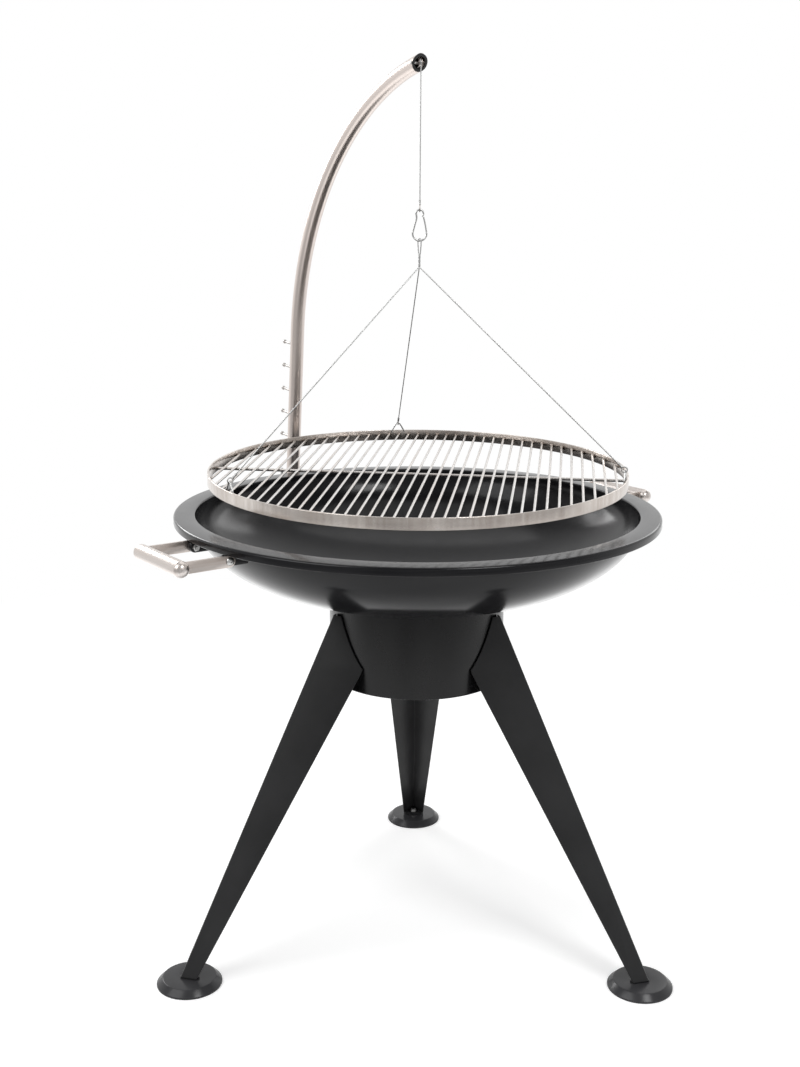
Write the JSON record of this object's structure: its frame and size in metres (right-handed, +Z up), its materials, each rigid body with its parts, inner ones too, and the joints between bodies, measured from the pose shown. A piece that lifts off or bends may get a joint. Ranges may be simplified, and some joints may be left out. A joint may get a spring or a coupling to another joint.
{
  "type": "tripod swing grill",
  "caption": "Round fire bowl on a drum and three folded sheet legs, with a round rod grate hung by a cable from a swinging bent tube arm.",
  "frame": {"origin": "on the ground, at the middle of the outline of the whole grill", "axes": "+Z up, -Y towards the viewer of the picture, +X to the viewer's right"},
  "size_m": [0.8546, 0.8766, 1.4659],
  "materials": {
    "bowl": "satin black heat-resistant enamel",
    "drum": "satin black heat-resistant enamel",
    "legs": "satin black powder coat on folded sheet",
    "feet": "satin black powder coat",
    "socket": "satin black powder coat",
    "lugs": "satin black enamel",
    "fasteners": "zinc plated",
    "arm": "brushed and polished stainless steel",
    "end_cap": "black moulded",
    "roller": "turned steel",
    "cable": "stranded stainless wire",
    "hook": "polished stainless wire",
    "grate": "polished stainless steel",
    "handles": "brushed stainless steel"
  },
  "bodies": {
    "base": {"fire_bowl": "bowl", "base_drum": "drum", "drum_plate": "drum", "bowl_bolt": "fasteners", "bowl_nut": "fasteners", "arm_socket": "socket", "socket_gusset": "socket", "leg_rear": "legs", "leg_left": "legs", "leg_right": "legs", "foot_rear": "feet", "foot_left": "feet", "foot_right": "feet", "handle_lug_left_a": "lugs", "handle_lug_left_b": "lugs", "handle_lug_right_a": "lugs", "handle_lug_right_b": "lugs", "foot_bolt_rear": "fasteners", "foot_bolt_left": "fasteners", "foot_bolt_right": "fasteners", "handle_bolt_left_a": "fasteners", "handle_bolt_left_b": "fasteners", "handle_bolt_right_a": "fasteners", "handle_bolt_right_b": "fasteners", "handle_nut_left_a": "fasteners", "handle_nut_left_b": "fasteners", "handle_nut_right_a": "fasteners", "handle_nut_right_b": "fasteners"},
    "arm": {"arm_tube": "arm", "arm_end_cap": "end_cap", "roller_pin": "roller", "lift_cable": "cable", "cable_end_ring": "cable", "height_pin_1": "arm", "height_pin_2": "arm", "height_pin_3": "arm", "height_pin_4": "arm", "height_pin_5": "arm"},
    "roller": {"tip_roller": "roller"},
    "cable": {"hanging_cable": "cable"},
    "ferrule": {"cable_ferrule": "cable"},
    "eye": {"cable_eye": "cable"},
    "hook": {"snap_hook": "hook"},
    "gate": {"hook_gate": "hook"},
    "grate": {"suspension_loop": "cable", "grate_wire_1": "cable", "grate_wire_2": "cable", "grate_wire_3": "cable", "grate_bail_1": "grate", "grate_bail_2": "grate", "grate_bail_3": "grate", "grate_hoop": "grate", "grate_rods": "grate"},
    "handle_right": {"handle_grip_right": "handles", "handle_strap_right_a": "handles", "handle_strap_right_b": "handles"},
    "handle_left": {"handle_grip_left": "handles", "handle_strap_left_a": "handles", "handle_strap_left_b": "handles"},
    "clamp_screw": {"arm_clamp_screw": "fasteners"}
  },
  "joints": [
    {"name": "arm_swing", "type": "hinge", "parent": "base", "child": "arm", "pos_m": [-0.24238, 0.32104, 0.61], "axis": [0.0495, -0.0734, 0.9961], "continuous": true},
    {"name": "clamp_turn", "type": "hinge", "parent": "base", "child": "clamp_screw", "pos_m": [-0.25963, 0.32623, 0.71705], "axis": [-0.8641, 0.4971, 0.0796], "range_deg": [0, 180]},
    {"name": "handle_right_fold", "type": "hinge", "parent": "base", "child": "handle_right", "pos_m": [0.3123, 0.19195, 0.726], "axis": [-0.5934, 0.8049, 0], "range_deg": [0, 85]},
    {"name": "handle_left_fold", "type": "hinge", "parent": "base", "child": "handle_left", "pos_m": [-0.3123, -0.26855, 0.726], "axis": [0.5934, -0.8049, 0], "range_deg": [0, 85]},
    {"name": "grate_swing", "type": "hinge", "parent": "arm", "child": "cable", "pos_m": [0, -0.0383, 1.4515], "axis": [-0.829, -0.5592, 0], "range_deg": [-2.5, 2.5]},
    {"name": "grate_lift", "type": "slide", "parent": "cable", "child": "ferrule", "axis": [0, 0, 1], "range_m": [0, 0.172], "deforming": ["hanging_cable"]},
    {"name": "roller_turn", "type": "hinge", "parent": "arm", "child": "roller", "pos_m": [-0.00447, -0.03167, 1.4515], "axis": [-0.829, -0.5592, 0], "range_deg": [0, 1260]},
    {"name": "grate_spin", "type": "hinge", "parent": "ferrule", "child": "eye", "pos_m": [0, -0.0383, 1.2378], "axis": [0, 0, 1], "continuous": true},
    {"name": "hook_sway", "type": "hinge", "parent": "eye", "child": "hook", "pos_m": [0, -0.0383, 1.2305], "axis": [1, 0, 0], "range_deg": [-2, 2]},
    {"name": "grate_rock", "type": "hinge", "parent": "hook", "child": "grate", "pos_m": [0, -0.0383, 1.1935], "axis": [0, 1, 0], "range_deg": [-2, 2]},
    {"name": "gate_open", "type": "hinge", "parent": "hook", "child": "gate", "pos_m": [0.01096, -0.0383, 1.19506], "axis": [0, -1, 0], "range_deg": [0, 15], "stiffness_Nm_per_rad": 0.02}
  ],
  "couplings": [
    {"joint": "roller_turn", "follows": "grate_lift", "rad_per_m": 125}
  ]
}
